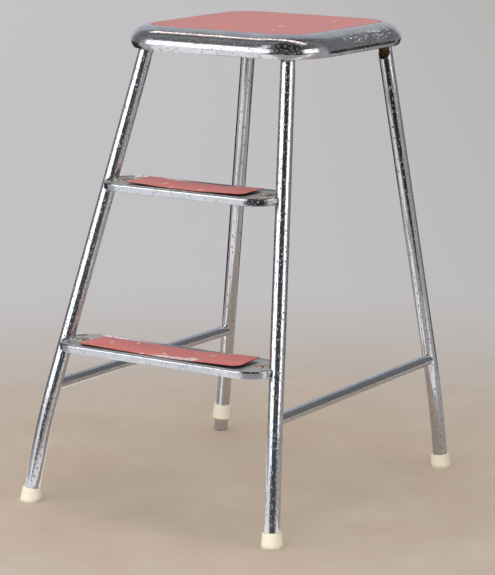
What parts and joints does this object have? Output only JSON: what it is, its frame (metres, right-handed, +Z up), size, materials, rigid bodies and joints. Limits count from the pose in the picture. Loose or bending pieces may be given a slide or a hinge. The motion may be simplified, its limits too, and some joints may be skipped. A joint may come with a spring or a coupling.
{
  "type": "step stool",
  "caption": "Chromed steel step stool: square seat and treads with red linoleum insets, on splayed tube legs with rubber ferrules.",
  "frame": {"origin": "on the floor, midway between the feet", "axes": "+Z up, the treads towards -Y, +X to the right of a person facing the treads"},
  "size_m": [0.3902, 0.4654, 0.6],
  "materials": {
    "chrome_plate": "bright chrome plate on steel, finely pitted and worn",
    "red_linoleum": "smooth red linoleum, matt, scuffed",
    "ivory_rubber": "aged ivory rubber, matt",
    "plain_steel": "bare steel, dull, lightly rusted",
    "rusty_steel": "steel screw, rusted"
  },
  "bodies": {
    "root": {"ferrule_front_left": "ivory_rubber", "ferrule_front_right": "ivory_rubber", "ferrule_rear_left": "ivory_rubber", "ferrule_rear_right": "ivory_rubber", "leg_front_left": "chrome_plate", "leg_front_right": "chrome_plate", "leg_rear_left": "chrome_plate", "leg_rear_right": "chrome_plate", "seat_bracket_front_left": "plain_steel", "seat_bracket_front_right": "plain_steel", "seat_bracket_rear_left": "plain_steel", "seat_bracket_rear_right": "plain_steel", "seat_inlay": "red_linoleum", "seat_pan": "chrome_plate", "seat_rivets": "plain_steel", "step_inlay_lower": "red_linoleum", "step_inlay_upper": "red_linoleum", "step_lug_lower_left": "plain_steel", "step_lug_lower_right": "plain_steel", "step_lug_upper_left": "plain_steel", "step_lug_upper_right": "plain_steel", "step_nuts_lower": "plain_steel", "step_nuts_upper": "plain_steel", "step_screws_lower": "rusty_steel", "step_screws_upper": "rusty_steel", "step_tray_lower": "chrome_plate", "step_tray_upper": "chrome_plate", "stretcher_left": "chrome_plate", "stretcher_right": "chrome_plate"}
  },
  "joints": []
}
